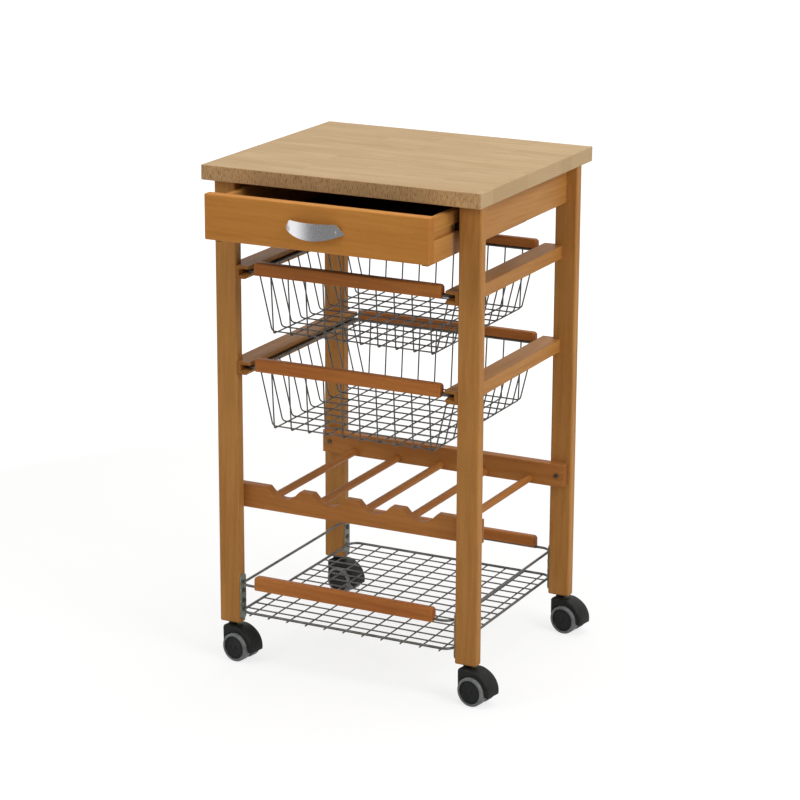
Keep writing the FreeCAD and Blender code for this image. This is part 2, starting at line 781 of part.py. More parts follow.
def build_frame():
    save("worktop", make_worktop())
    for name in leg_places:
        save("leg_" + name, make_leg(name))
    for side, s in side_names.items():
        save("apron_" + side, make_side_apron(s))
        save("drawer_guide_" + side, make_guide(s))
        for name in basket_drops:
            save("rail_" + name + "_" + side, make_rail(name, s))
    save("apron_back", make_back_apron())
    save("rack_front_rail", make_rack_rail("front"))
    save("rack_rear_rail", make_rack_rail("back"))
    save("rack_dowels", [rod(*d) for d in rack_dowel_rods()])
    save("frame_pins", [rod(*p) for p in frame_pins()])
    save("frame_screws", [screw(face, way, screw_radius, screw_length, screw_head_radius,
                                screw_head_height) for face, way in screw_places()])
    save("worktop_screws", [make_top_screw(x, y) for x, y in top_screw_places()])
    save("caster_stems", [placed(make_stem(), name) for name in leg_places])


def build_shelf():
    save("shelf_upper_ring", make_shelf_ring(shelf_ring_z))
    save("shelf_lower_ring", make_shelf_ring(shelf_floor_z))
    save("shelf_long_wires", make_shelf_long_wires())
    save("shelf_cross_wires", make_shelf_cross_wires())
    save("shelf_straps", [make_strap(s, y) for s in side_names.values()
                          for y in (front_leg_mid, back_leg_mid)])
    half = leg_in_x - shelf_bar_end_gap
    save("shelf_bars", [make_bar(half, shelf_bar_height, (shelf_ring_radius, y, shelf_ring_z), outward)
                        for y, outward in ((shelf_front, -1), (shelf_back, 1))])


def build_drawer():
    save("drawer_front", make_drawer_front())
    for side, s in side_names.items():
        save("drawer_side_" + side, make_drawer_side(s))
    save("drawer_back", make_drawer_back())
    save("drawer_bottom", drawer_bottom_panel(0))
    save("drawer_handle", make_handle())
    save("handle_screws", [make_handle_screw(h) for h in handle_screw_rods()])


def build_baskets():
    half = rail_face - bar_end_gap
    for name, z in basket_ring_z.items():
        save("basket_" + name + "_rims", make_basket_rims(name))
        save("basket_" + name + "_long_wires", make_long_wires(name))
        save("basket_" + name + "_cross_wires", make_cross_wires(name))
        save("basket_" + name + "_front_bar", make_bar(half, bar_height, (ring_radius, ring_front, z), -1))
        save("basket_" + name + "_back_bar", make_bar(half, bar_height, (ring_radius, ring_back, z), 1))


def build_casters():
    for name in leg_places:
        save("caster_" + name + "_housing", placed(make_housing(), name))
        save("caster_" + name + "_axle", placed(make_axle(), name))
        for side, s in (("near", -1), ("far", 1)):
            save("wheel_" + name + "_" + side, placed(make_wheel(s), name))


os.makedirs("parts", exist_ok=True)
build_frame()
build_shelf()
build_drawer()
build_baskets()
build_casters()
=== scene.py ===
import json
import math
import bpy
import bmesh
from mathutils import Matrix, Vector


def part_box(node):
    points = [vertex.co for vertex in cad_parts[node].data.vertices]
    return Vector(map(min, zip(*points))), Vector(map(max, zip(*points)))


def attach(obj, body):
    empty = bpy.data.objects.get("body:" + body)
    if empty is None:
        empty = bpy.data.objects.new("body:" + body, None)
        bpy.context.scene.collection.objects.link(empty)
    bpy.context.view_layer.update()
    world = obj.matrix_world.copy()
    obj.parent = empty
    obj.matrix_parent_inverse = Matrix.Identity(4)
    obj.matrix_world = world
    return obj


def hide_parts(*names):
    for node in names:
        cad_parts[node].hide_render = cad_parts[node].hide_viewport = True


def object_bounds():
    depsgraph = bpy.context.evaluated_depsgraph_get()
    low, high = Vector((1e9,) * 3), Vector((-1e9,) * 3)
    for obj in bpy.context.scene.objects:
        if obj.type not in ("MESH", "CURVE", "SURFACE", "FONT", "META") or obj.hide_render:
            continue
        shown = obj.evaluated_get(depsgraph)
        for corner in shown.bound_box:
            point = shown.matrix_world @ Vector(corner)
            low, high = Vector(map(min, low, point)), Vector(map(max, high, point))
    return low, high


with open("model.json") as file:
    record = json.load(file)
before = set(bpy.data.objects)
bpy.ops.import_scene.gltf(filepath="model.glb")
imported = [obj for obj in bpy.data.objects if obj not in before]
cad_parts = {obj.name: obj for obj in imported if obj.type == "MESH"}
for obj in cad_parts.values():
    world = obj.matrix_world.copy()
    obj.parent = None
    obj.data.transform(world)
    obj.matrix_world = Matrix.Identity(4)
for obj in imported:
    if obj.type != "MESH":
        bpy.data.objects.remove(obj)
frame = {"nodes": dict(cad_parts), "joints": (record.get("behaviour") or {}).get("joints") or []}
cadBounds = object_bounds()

nodes = frame["nodes"]
joints = {joint["name"]: joint for joint in frame["joints"]}
casterPlaces = ["front_left", "front_right", "back_left", "back_right"]
print("frame loaded:", len(nodes), "nodes")


# small helpers for shader trees

def tint(red, green, blue):
    # a colour given in 0-255 steps, as the linear colour that shaders take
    def linear(step):
        value = step / 255
        return value / 12.92 if value <= 0.04045 else ((value + 0.055) / 1.055) ** 2.4
    return (linear(red), linear(green), linear(blue), 1)


def addNode(tree, kind, sockets=None, **settings):
    node = tree.nodes.new(kind)
    for key, value in settings.items():
        setattr(node, key, value)
    for key, value in (sockets or {}).items():
        if isinstance(value, bpy.types.NodeSocket):
            tree.links.new(value, node.inputs[key])
        else:
            node.inputs[key].default_value = value
    return node


def mathNode(tree, operation, first, second=0.5):
    return addNode(tree, "ShaderNodeMath", {0: first, 1: second}, operation=operation).outputs[0]


def vectorMath(tree, operation, first, second):
    return addNode(tree, "ShaderNodeVectorMath", {0: first, 1: second}, operation=operation).outputs[0]


def remap(tree, value, low, high, newLow=0.0, newHigh=1.0):
    sockets = {"Value": value, "From Min": low, "From Max": high, "To Min": newLow, "To Max": newHigh}
    return addNode(tree, "ShaderNodeMapRange", sockets).outputs["Result"]


def mixColours(tree, factor, first, second):
    mix = addNode(tree, "ShaderNodeMix", data_type="RGBA")
    for index, value in ((0, factor), (6, first), (7, second)):
        if isinstance(value, bpy.types.NodeSocket):
            tree.links.new(value, mix.inputs[index])
        else:
            mix.inputs[index].default_value = value
    return mix.outputs[2]


def noise(tree, vector, scale, detail=3.0, rough=0.55):
    sockets = {"Vector": vector, "Scale": scale, "Detail": detail, "Roughness": rough}
    return addNode(tree, "ShaderNodeTexNoise", sockets).outputs["Fac"]


def newGroup(name, inputs, outputs):
    tree = bpy.data.node_groups.new(name, "ShaderNodeTree")
    kinds = {"value": "NodeSocketFloat", "vector": "NodeSocketVector", "colour": "NodeSocketColor"}
    for label, kind, start in inputs:
        socket = tree.interface.new_socket(name=label, in_out="INPUT", socket_type=kinds[kind])
        if start is not None:
            socket.default_value = start
    for label, kind in outputs:
        tree.interface.new_socket(name=label, in_out="OUTPUT", socket_type=kinds[kind])
    return tree, tree.nodes.new("NodeGroupInput").outputs, tree.nodes.new("NodeGroupOutput").inputs


# grain of a beech board whose fibres run along the vector's X
def makeWoodGrain():
    tree, given, out = newGroup(
        "wood grain",
        [("Vector", "vector", None), ("Seed", "value", 0.0), ("Ring Spacing", "value", 0.009),
         ("Ring Strength", "value", 0.05)],
        [("Tone", "value"), ("Fleck", "value"), ("Height", "value")])
    seedShift = addNode(tree, "ShaderNodeCombineXYZ", {
        "X": mathNode(tree, "MULTIPLY", given["Seed"], 0.731),
        "Y": mathNode(tree, "MULTIPLY", given["Seed"], 0.417),
        "Z": mathNode(tree, "MULTIPLY", given["Seed"], 0.293)}).outputs[0]
    place = vectorMath(tree, "ADD", given["Vector"], seedShift)
    streak = noise(tree, vectorMath(tree, "MULTIPLY", place, (5, 95, 95)), 1.0, 4.0, 0.6)
    fibre = noise(tree, vectorMath(tree, "MULTIPLY", place, (30, 900, 900)), 1.0, 2.0)
    cloud = noise(tree, vectorMath(tree, "MULTIPLY", place, (4, 16, 16)), 1.0, 2.0)
    bend = noise(tree, vectorMath(tree, "MULTIPLY", place, (3.5, 9, 9)), 1.0, 2.0)
    # growth rings: shells round a slightly wandering heart line beside the board
    parts = addNode(tree, "ShaderNodeSeparateXYZ", {"Vector": given["Vector"]}).outputs
    across = mathNode(tree, "ADD", parts["Y"], mathNode(tree, "MULTIPLY", bend, 0.05))
    depth = mathNode(tree, "ADD", parts["Z"], mathNode(tree, "MULTIPLY", bend, 0.03))
    deep = mathNode(tree, "ADD", depth, mathNode(tree, "MULTIPLY", parts["X"], 0.05))
    square = mathNode(tree, "ADD", mathNode(tree, "POWER", mathNode(tree, "ADD", across, 0.013), 2.0),
                      mathNode(tree, "POWER", mathNode(tree, "ADD", deep, 0.055), 2.0))
    ring = mathNode(tree, "DIVIDE", mathNode(tree, "SQRT", square), given["Ring Spacing"])
    band = mathNode(tree, "FRACT", ring)
    late = remap(tree, band, 0.35, 0.92)
    early = remap(tree, band, 0.0, 0.2, 1.0, 0.0)
    rings = mathNode(tree, "MAXIMUM", late, early)
    tone = mathNode(tree, "MULTIPLY", streak, 0.4)
    tone = mathNode(tree, "ADD", tone, mathNode(tree, "MULTIPLY", fibre, 0.18))
    tone = mathNode(tree, "ADD", tone, mathNode(tree, "MULTIPLY", cloud, 0.42))
    tone = mathNode(tree, "ADD", tone, mathNode(tree, "MULTIPLY", rings, given["Ring Strength"]))
    tree.links.new(remap(tree, tone, 0.3, 0.72), out["Tone"])
    dash = noise(tree, vectorMath(tree, "MULTIPLY", place, (260, 1500, 1500)), 1.0, 1.0)
    fleck = remap(tree, dash, 0.62, 0.7)
    tree.links.new(fleck, out["Fleck"])
    height = mathNode(tree, "SUBTRACT", mathNode(tree, "MULTIPLY", fibre, 0.6),
                      mathNode(tree, "MULTIPLY", fleck, 0.5))
    tree.links.new(height, out["Height"])
    return tree


# sawn ends: growth-ring arcs and fine pores, in the plane across the vector's X
def makeEndGrain():
    tree, given, out = newGroup(
        "end grain",
        [("Vector", "vector", None), ("Seed", "value", 0.0), ("Ring Spacing", "value", 0.0028)],
        [("Tone", "value"), ("Pores", "value")])
    parts = addNode(tree, "ShaderNodeSeparateXYZ", {"Vector": given["Vector"]}).outputs
    wander = noise(tree, given["Vector"], 60.0, 2.0)
    across = mathNode(tree, "ADD", parts["Y"], mathNode(tree, "MULTIPLY", given["Seed"], 0.0137))
    deep = mathNode(tree, "ADD", parts["Z"], mathNode(tree, "MULTIPLY", wander, 0.004))
    square = mathNode(tree, "ADD", mathNode(tree, "POWER", mathNode(tree, "ABSOLUTE", across), 2.0),
                      mathNode(tree, "POWER", mathNode(tree, "ADD", mathNode(tree, "ABSOLUTE", deep), 0.035), 2.0))
    band = mathNode(tree, "FRACT", mathNode(tree, "DIVIDE", mathNode(tree, "SQRT", square), given["Ring Spacing"]))
    tree.links.new(remap(tree, band, 0.35, 1.0), out["Tone"])
    pores = noise(tree, vectorMath(tree, "MULTIPLY", given["Vector"], (400, 1400, 1400)), 1.0, 1.0)
    tree.links.new(remap(tree, pores, 0.58, 0.68), out["Pores"])
    return tree


# edge-glued staves: a tone for each stave, the glue lines and a jump of the grain from stave to stave
def makeStaves():
    tree, given, out = newGroup(
        "staves",
        [("Vector", "vector", None), ("Stave Width", "value", 0.044), ("Stave Length", "value", 0.24)],
        [("Tone", "value"), ("Joint", "value"), ("Shifted", "vector")])
    brick = addNode(tree, "ShaderNodeTexBrick", {
        "Vector": given["Vector"], "Color1": (0, 0, 0, 1), "Color2": (1, 1, 1, 1), "Mortar": (0.5, 0.5, 0.5, 1),
        "Scale": 1.0, "Mortar Size": 0.00025, "Mortar Smooth": 0.2,
        "Brick Width": given["Stave Length"], "Row Height": given["Stave Width"]}, offset=0.37, offset_frequency=2)
    shade = addNode(tree, "ShaderNodeSeparateColor", {"Color": brick.outputs["Color"]}).outputs[0]
    tree.links.new(shade, out["Tone"])
    tree.links.new(brick.outputs["Fac"], out["Joint"])
    jump = addNode(tree, "ShaderNodeCombineXYZ", {
        "X": mathNode(tree, "MULTIPLY", shade, 1.9), "Y": mathNode(tree, "MULTIPLY", shade, 0.7),
        "Z": mathNode(tree, "MULTIPLY", shade, 0.35)}).outputs[0]
    tree.links.new(vectorMath(tree, "ADD", given["Vector"], jump), out["Shifted"])
    return tree


# fine uneven skin of a moulded, coated or rolled surface
def makeSurfaceSkin():
    tree, given, out = newGroup(
        "surface skin",
        [("Vector", "vector", None), ("Stretch", "vector", (1, 1, 1)), ("Grain", "value", 900.0),
         ("Blotch", "value", 30.0)],
        [("Grain", "value"), ("Blotch", "value"), ("Scuff", "value")])
    place = vectorMath(tree, "MULTIPLY", given["Vector"], given["Stretch"])
    tree.links.new(noise(tree, place, given["Grain"], 2.0), out["Grain"])
    tree.links.new(noise(tree, place, given["Blotch"], 3.0), out["Blotch"])
    lines = noise(tree, vectorMath(tree, "MULTIPLY", given["Vector"], (90, 90, 900)), 1.0, 2.0)
    tree.links.new(remap(tree, lines, 0.66, 0.72), out["Scuff"])
    return tree


groups = {"grain": makeWoodGrain(), "end": makeEndGrain(), "staves": makeStaves(), "skin": makeSurfaceSkin()}
print("shader groups made:", ", ".join(sorted(groups)))


# finishes

def newMaterial(name):
    material = bpy.data.materials.new(name)
    material.use_nodes = True
    tree = material.node_tree
    shader = tree.nodes["Principled BSDF"]
    return material, tree, shader


def placeGroup(tree, group, sockets):
    node = addNode(tree, "ShaderNodeGroup", node_tree=groups[group])
    for key, value in sockets.items():
        if isinstance(value, bpy.types.NodeSocket):
            tree.links.new(value, node.inputs[key])
        else:
            node.inputs[key].default_value = value
    return node.outputs


def addBump(tree, shader, height, distance):
    bump = addNode(tree, "ShaderNodeBump", {"Height": height, "Distance": distance, "Strength": 1.0})
    tree.links.new(bump.outputs["Normal"], shader.inputs["Normal"])


woodTones = {
    "frame": {"light": tint(190, 136, 73), "dark": tint(154, 101, 46),
        "end": tint(118, 70, 32), "coat": 0.04, "rough": 0.46},
    "drawer": {"light": tint(204, 140, 66), "dark": tint(176, 113, 46),
        "end": tint(132, 80, 36), "coat": 0.06, "rough": 0.44},
    "bar": {"light": tint(188, 120, 58), "dark": tint(152, 86, 37),
        "end": tint(112, 58, 26), "coat": 0.06, "rough": 0.42},
    "rack": {"light": tint(184, 123, 62), "dark": tint(150, 91, 41),
        "end": tint(116, 68, 31), "coat": 0.04, "rough": 0.46},
    "pin": {"light": tint(206, 168, 120), "dark": tint(182, 140, 94),
        "end": tint(160, 122, 78), "coat": 0.0, "rough": 0.6},
}
grainTurns = {"x": (0, 0, 0), "y": (0, 0, -math.pi / 2), "z": (0, math.pi / 2, 0)}


def makeWood(name, tones, axis, seed):
    # lacquered beech with its fibres along the given axis
    material, tree, shader = newMaterial(name)
    coords = addNode(tree, "ShaderNodeTexCoord").outputs
    turn = grainTurns[axis]
    turned = addNode(tree, "ShaderNodeMapping", {"Vector": coords["Object"], "Rotation": turn}).outputs[0]
    face = addNode(tree, "ShaderNodeMapping", {"Vector": coords["Normal"], "Rotation": turn}).outputs[0]
    along = addNode(tree, "ShaderNodeSeparateXYZ", {"Vector": face}).outputs["X"]
    endMask = remap(tree, mathNode(tree, "ABSOLUTE", along), 0.6, 0.85)
    grain = placeGroup(tree, "grain", {"Vector": turned, "Seed": seed})
    end = placeGroup(tree, "end", {"Vector": turned, "Seed": seed})
    side = mixColours(tree, grain["Tone"], tones["light"], tones["dark"])
    side = mixColours(tree, mathNode(tree, "MULTIPLY", grain["Fleck"], 0.35), side, tones["end"])
    sawn = mixColours(tree, mathNode(tree, "MULTIPLY", end["Tone"], 0.5), tones["dark"], tones["end"])
    sawn = mixColours(tree, mathNode(tree, "MULTIPLY", end["Pores"], 0.4), sawn, tones["end"])
    tree.links.new(mixColours(tree, endMask, side, sawn), shader.inputs["Base Color"])
    rough = remap(tree, grain["Tone"], 0.0, 1.0, tones["rough"] - 0.05, tones["rough"] + 0.07)
    tree.links.new(rough, shader.inputs["Roughness"])
    shader.inputs["Coat Weight"].default_value = tones["coat"]
    shader.inputs["Coat Roughness"].default_value = 0.3
    shader.inputs["Specular IOR Level"].default_value = 0.11
    addBump(tree, shader, grain["Height"], 0.00012)
    return material


worktopFinish = {"light": tint(190, 163, 122), "dark": tint(166, 136, 96), "deep": tint(126, 92, 58),
                 "edgeLight": tint(214, 169, 115), "edgeDark": tint(124, 84, 48), "rough": 0.58}


def makeWorktopWood():
    # oiled staves along X; the front and back edges show short upright pores, the ends show sawn staves
    tones = worktopFinish
    material, tree, shader = newMaterial("worktop beech")
    coords = addNode(tree, "ShaderNodeTexCoord").outputs
    staves = placeGroup(tree, "staves", {"Vector": coords["Object"]})
    grain = placeGroup(tree, "grain", {"Vector": staves["Shifted"], "Seed": 3.0, "Ring Spacing": 0.012,
                                      "Ring Strength": 0.04})
    end = placeGroup(tree, "end", {"Vector": staves["Shifted"], "Seed": 1.0})
    top = mixColours(tree, grain["Tone"], tones["light"], tones["dark"])
    top = mixColours(tree, mathNode(tree, "MULTIPLY", staves["Tone"], 0.3), top, tones["dark"])
    top = mixColours(tree, mathNode(tree, "MULTIPLY", grain["Fleck"], 0.3), top, tones["deep"])
    top = mixColours(tree, mathNode(tree, "MULTIPLY", staves["Joint"], 0.45), top, tones["deep"])
    normal = addNode(tree, "ShaderNodeSeparateXYZ", {"Vector": coords["Normal"]}).outputs
    frontMask = remap(tree, mathNode(tree, "ABSOLUTE", normal["Y"]), 0.6, 0.85)
    endMask = remap(tree, mathNode(tree, "ABSOLUTE", normal["X"]), 0.6, 0.85)
    upright = noise(tree, vectorMath(tree, "MULTIPLY", coords["Object"], (760, 760, 130)), 1.0, 2.0, 0.6)
    pores = remap(tree, upright, 0.5, 0.64)
    patch = noise(tree, coords["Object"], 14.0, 2.0)
    front = mixColours(tree, patch, tones["edgeLight"], tones["dark"])
    front = mixColours(tree, mathNode(tree, "MULTIPLY", pores, 0.7), front, tones["edgeDark"])
    sawn = mixColours(tree, mathNode(tree, "MULTIPLY", end["Tone"], 0.4), tones["light"], tones["edgeDark"])
    sawn = mixColours(tree, mathNode(tree, "MULTIPLY", staves["Tone"], 0.55), sawn, tones["dark"])
    sawn = mixColours(tree, mathNode(tree, "MULTIPLY", end["Pores"], 0.3), sawn, tones["edgeDark"])
    colour = mixColours(tree, frontMask, top, front)
    tree.links.new(mixColours(tree, endMask, colour, sawn), shader.inputs["Base Color"])
    tree.links.new(remap(tree, grain["Tone"], 0.0, 1.0, tones["rough"] - 0.06, tones["rough"] + 0.08),
                   shader.inputs["Roughness"])
    shader.inputs["Specular IOR Level"].default_value = 0.25
    height = mathNode(tree, "SUBTRACT", grain["Height"], mathNode(tree, "MULTIPLY", staves["Joint"], 0.8))
    addBump(tree, shader, height, 0.00015)
    return material


metalFinishes = {
    "wire": {"colour": tint(118, 116, 111), "dark": tint(78, 77, 73), "metal": 0.6, "rough": 0.36, "bump": 0.00004,
             "stretch": (1, 1, 1), "grain": 1400.0, "blotch": 45.0},
    "strap": {"colour": tint(158, 160, 150), "dark": tint(96, 100, 92), "metal": 0.5, "rough": 0.5, "bump": 0.00012,
              "stretch": (1, 1, 1), "grain": 420.0, "blotch": 150.0},
    "screw": {"colour": tint(122, 114, 102), "dark": tint(74, 67, 58), "metal": 1.0, "rough": 0.35, "bump": 0.00003,
              "stretch": (1, 1, 1), "grain": 1800.0, "blotch": 90.0},
    "handle": {"colour": tint(240, 240, 241), "dark": tint(220, 220, 223), "metal": 1.0, "rough": 0.22,
               "bump": 0.000008, "stretch": (0.03, 1, 1), "grain": 2600.0, "blotch": 12.0},
}


def makeMetal(name, finish):
    material, tree, shader = newMaterial(name)
    coords = addNode(tree, "ShaderNodeTexCoord").outputs
    skin = placeGroup(tree, "skin", {"Vector": coords["Object"], "Stretch": finish["stretch"],
                                     "Grain": finish["grain"], "Blotch": finish["blotch"]})
    patch = remap(tree, skin["Blotch"], 0.35, 0.7)
    colour = mixColours(tree, patch, finish["colour"], finish["dark"])
    colour = mixColours(tree, mathNode(tree, "MULTIPLY", skin["Grain"], 0.35), colour, finish["dark"])
    tree.links.new(colour, shader.inputs["Base Color"])
    shader.inputs["Metallic"].default_value = finish["metal"]
    tree.links.new(remap(tree, skin["Grain"], 0.3, 0.7, finish["rough"] - 0.06, finish["rough"] + 0.1),
                   shader.inputs["Roughness"])
    addBump(tree, shader, skin["Grain"], finish["bump"])
    return material


plasticFinishes = {
    "nylon": {"colour": tint(31, 33, 30), "dark": tint(20, 22, 20), "pale": tint(74, 76, 72),
        "gloss": 0.2, "rough": 0.42, "bump": 0.00005, "grain": 1500.0, "blotch": 60.0},
    "hub": {"colour": tint(32, 34, 33), "dark": tint(22, 24, 23), "pale": tint(92, 92, 92),
        "gloss": 0.2, "rough": 0.38, "bump": 0.00004, "grain": 1700.0, "blotch": 70.0},
    "tread": {"colour": tint(116, 118, 118), "dark": tint(90, 92, 92), "pale": tint(150, 151, 150),
        "gloss": 0.5, "rough": 0.4, "bump": 0.00005, "grain": 1100.0, "blotch": 90.0},
    # panel: the black plastic of the drawer guides; on the drawer bottom the same black is partly painted shade,
    # standing in for the deep shade inside the drawer under the worktop
    "panel": {"colour": tint(24, 27, 27), "dark": tint(16, 18, 18), "pale": tint(52, 54, 54),
        "gloss": 0.15, "rough": 0.5, "bump": 0.00006, "grain": 800.0, "blotch": 25.0},
}


def makePlastic(name, finish):
    material, tree, shader = newMaterial(name)
    coords = addNode(tree, "ShaderNodeTexCoord").outputs
    skin = placeGroup(tree, "skin", {"Vector": coords["Object"], "Grain": finish["grain"],
                                     "Blotch": finish["blotch"]})
    colour = mixColours(tree, remap(tree, skin["Blotch"], 0.3, 0.7), finish["colour"], finish["dark"])
    colour = mixColours(tree, mathNode(tree, "MULTIPLY", skin["Scuff"], 0.25), colour, finish["pale"])
    tree.links.new(colour, shader.inputs["Base Color"])
    shader.inputs["Specular IOR Level"].default_value = finish["gloss"]
    tree.links.new(remap(tree, skin["Blotch"], 0.3, 0.7, finish["rough"] - 0.05, finish["rough"] + 0.09),
                   shader.inputs["Roughness"])
    addBump(tree, shader, skin["Grain"], finish["bump"])
    return material


wireSteel = makeMetal("coated wire", metalFinishes["wire"])
strapSteel = makeMetal("strap steel", metalFinishes["strap"])
screwSteel = makeMetal("screw steel", metalFinishes["screw"])
handleSteel = makeMetal("brushed handle steel", metalFinishes["handle"])
nylon = makePlastic("black nylon", plasticFinishes["nylon"])
hubNylon = makePlastic("hub nylon", plasticFinishes["hub"])
treadRubber = makePlastic("grey tread", plasticFinishes["tread"])
guideBlackAndPaintedShade = makePlastic("black guides and painted drawer shade", plasticFinishes["panel"])


# finish of each construction node: wooden ones by tone and grain axis, the rest by material

woodNodes = {
    "leg_front_left": ("frame", "z"), "leg_front_right": ("frame", "z"), "leg_back_left": ("frame", "z"),
    "leg_back_right": ("frame", "z"), "apron_left": ("frame", "y"), "apron_right": ("frame", "y"),
    "apron_back": ("frame", "x"), "rail_upper_left": ("frame", "y"), "rail_upper_right": ("frame", "y"),
    "rail_lower_left": ("frame", "y"), "rail_lower_right": ("frame", "y"), "rack_front_rail": ("rack", "x"),
    "rack_rear_rail": ("rack", "x"), "rack_dowels": ("rack", "y"), "frame_pins": ("pin", "x"),
    "drawer_front": ("drawer", "x"), "drawer_side_left": ("frame", "y"), "drawer_side_right": ("frame", "y"),
    "drawer_back": ("drawer", "x"), "shelf_bars": ("bar", "x"), "basket_upper_front_bar": ("bar", "x"),
    "basket_upper_back_bar": ("bar", "x"), "basket_lower_front_bar": ("bar", "x"),
    "basket_lower_back_bar": ("bar", "x"),
}


def finishNode(name, material):
    for slot in nodes[name].material_slots:
        slot.material = material


for seed, (nodeName, (toneName, grainAxis)) in enumerate(sorted(woodNodes.items())):
    finishNode(nodeName, makeWood("wood " + nodeName, woodTones[toneName], grainAxis, seed * 1.37 + 0.5))
finishNode("worktop", makeWorktopWood())
for nodeName in nodes:
    if nodeName.endswith(("_rims", "_wires", "_ring")):
        finishNode(nodeName, wireSteel)
    elif nodeName.endswith(("_screws", "_axle")):
        finishNode(nodeName, screwSteel)
    elif nodeName == "caster_stems":
        finishNode(nodeName, nylon)
    # guides get their own black plastic; the drawer bottom's black is partly painted shade for the dark inside of
    # the drawer
    elif nodeName.startswith("drawer_guide") or nodeName == "drawer_bottom":
        finishNode(nodeName, guideBlackAndPaintedShade)
finishNode("shelf_straps", strapSteel)
print("construction nodes finished:", len(nodes))


# mesh helpers

def meshPiece(name, mesh, material, smoothAngle=35):
    piece = bpy.data.objects.new(name, mesh)
    bpy.context.scene.collection.objects.link(piece)
    mesh.materials.append(material)
    for polygon in mesh.polygons:
        polygon.use_smooth = True
    mesh.set_sharp_from_angle(angle=math.radians(smoothAngle))
    return piece


def arcPoints(centreA, centreB, radius, startAngle, endAngle, steps):
    angles = [math.radians(startAngle + (endAngle - startAngle) * i / steps) for i in range(steps + 1)]
    return [(centreA + radius * math.cos(a), centreB + radius * math.sin(a)) for a in angles]


def latheInto(builder, profile, place, segments):
    # turns a profile of (radius, height) about the local Z of the place matrix; ends on the axis close it
    rings = []
    for radius, height in profile:
        if radius < 1e-7:
            rings.append([builder.verts.new(place @ Vector((0, 0, height)))])
            continue
        ring = []
        for step in range(segments):
            angle = 2 * math.pi * step / segments
            point = Vector((radius * math.cos(angle), radius * math.sin(angle), height))
            ring.append(builder.verts.new(place @ point))
        rings.append(ring)
    closed = profile[0][0] > 1e-7
    pairs = [(i, i + 1) for i in range(len(rings) - 1)] + ([(len(rings) - 1, 0)] if closed else [])
    for first, second in pairs:
        lower, upper = rings[first], rings[second]
        for step in range(segments):
            after = (step + 1) % segments
            corners = [lower[step % len(lower)], lower[after % len(lower)],
                       upper[after % len(upper)], upper[step % len(upper)]]
            unique = list(dict.fromkeys(corners))
            if len(unique) > 2:
                builder.faces.new(unique)


def finishMesh(builder, name):
    bmesh.ops.recalc_face_normals(builder, faces=builder.faces)
    mesh = bpy.data.meshes.new(name)
    builder.to_mesh(mesh)
    builder.free()
    return mesh


def addBevel(piece, width, segments=3, angle=40):
    bevel = piece.modifiers.new("eased edges", "BEVEL")
    bevel.width = width
    bevel.segments = segments
    bevel.limit_method = "ANGLE"
    bevel.angle_limit = math.radians(angle)
    bevel.harden_normals = False


# twin wheels: a grey tread on a black dished hub

wheelShape = {"shoulder": 0.0036, "sideSlope": 0.0012, "hubGap": 0.00002, "hubRadius": 0.0197, "hubLip": 0.0014,
              "hubLipRise": 0.0005, "hubBack": 0.0006, "hubSink": 0.0011, "capRadius": 0.0047, "capRise": 0.0007,
              "sideSink": 0.0008, "treadSegments": 96, "hubSegments": 72}


def wheelFrame(name):
    # place matrix with its Z along the axle, pointing out of the caster, and the wheel's width and radius
    joint = joints["wheel_" + name + "_spin"]
    centre = Vector(joint["pos_m"])
    axis = Vector(joint["axis"]).normalized()
    places = [vertex.co - centre for vertex in nodes["wheel_" + name].data.vertices]
    spans = [place.dot(axis) for place in places]
    if abs(min(spans)) > abs(max(spans)):
        axis = -axis
        spans = [-span for span in spans]
    radius = max((place - axis * place.dot(axis)).length for place in places)
    base = centre + axis * min(spans)
    turn = axis.to_track_quat("Z", "Y").to_matrix().to_4x4()
    return Matrix.Translation(base) @ turn, max(spans) - min(spans), radius


def buildWheel(name):
    shape = wheelShape
    place, width, radius = wheelFrame(name)
    curve = shape["shoulder"]
    tread = [(shape["hubRadius"], shape["sideSink"]), (radius - curve - shape["sideSlope"], 0.0)]
    tread += arcPoints(radius - curve, curve, curve, -90, -6, 7)
    tread += [(radius, width / 2)]
    tread += arcPoints(radius - curve, width - curve, curve, 6, 90, 7)
    tread += [(radius - curve - shape["sideSlope"], width),
              (shape["hubRadius"] + 0.0004, width - 0.0003), (shape["hubRadius"], width - shape["sideSink"])]
    builder = bmesh.new()
    latheInto(builder, tread, place, shape["treadSegments"])
    tyre = meshPiece("tread_" + name, finishMesh(builder, "tread_" + name), treadRubber, 30)
    hubRadius = shape["hubRadius"] - shape["hubGap"]
    rimTop = width - shape["sideSink"] + shape["hubLipRise"]
    low = width - shape["hubSink"] - shape["sideSink"]
    back = shape["sideSink"] + shape["hubBack"]
    hub = [(0, back), (hubRadius - 0.001, back), (hubRadius, back + 0.001), (hubRadius, rimTop - 0.0006)]
    hub += [(hubRadius - 0.0003, rimTop), (hubRadius - shape["hubLip"], rimTop)]
    hub += [(hubRadius - shape["hubLip"] - 0.0008, low), (shape["capRadius"] + 0.0014, low - 0.0003)]
    hub += [(shape["capRadius"] + 0.0007, low - 0.0005), (shape["capRadius"], low + 0.0001),
            (shape["capRadius"] * 0.7, low + shape["capRise"]), (0, low + shape["capRise"] * 1.25)]
    builder = bmesh.new()
    latheInto(builder, hub, place, shape["hubSegments"])
    disc = meshPiece("hub_" + name, finishMesh(builder, "hub_" + name), hubNylon, 30)
    for piece, slotName in ((tyre, "wheel_tread"), (disc, "caster_plastic")):
        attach(piece, "turning_wheel_" + name)
    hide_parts("wheel_" + name)


for casterPlace in casterPlaces:
    for wheelSide in ("near", "far"):
        buildWheel(casterPlace + "_" + wheelSide)
print("wheels built:", len(casterPlaces) * 2)


# caster hoods: a rounded shell over both wheels, a middle web and a boss for the stem

